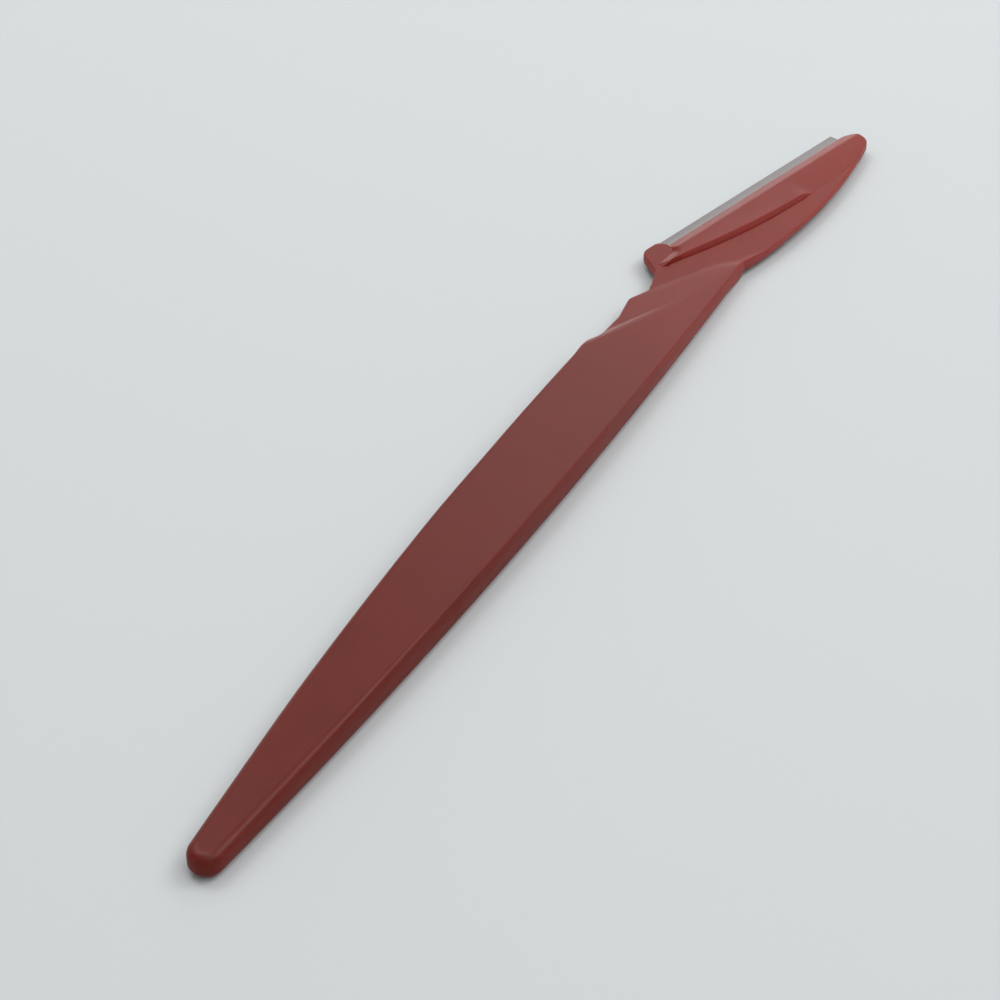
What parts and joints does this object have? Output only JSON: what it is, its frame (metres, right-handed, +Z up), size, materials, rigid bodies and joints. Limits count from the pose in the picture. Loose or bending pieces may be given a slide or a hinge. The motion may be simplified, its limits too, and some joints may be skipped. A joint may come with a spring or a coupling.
{
  "type": "eyebrow razor",
  "caption": "Slim disposable eyebrow razor: a tapered flat plastic handle with a leaning head that clamps a straight steel blade under a leaf-shaped cover.",
  "frame": {"origin": "on the flat underside of the handle, below its widest point, on its centre line", "axes": "+X runs along the handle towards the head, +Y towards the cutting edge, +Z up, out of the crowned top face"},
  "size_m": [0.1443, 0.0147, 0.0037],
  "materials": {
    "handle_plastic": "semi-gloss brick brown, fine moulded grain",
    "cover_plastic": "semi-gloss brick brown, fine moulded grain",
    "blade_steel": "brushed along the edge, with a finely ground bevel"
  },
  "bodies": {
    "root": {"handle": "handle_plastic", "blade": "blade_steel", "blade_cover": "cover_plastic"}
  },
  "joints": []
}
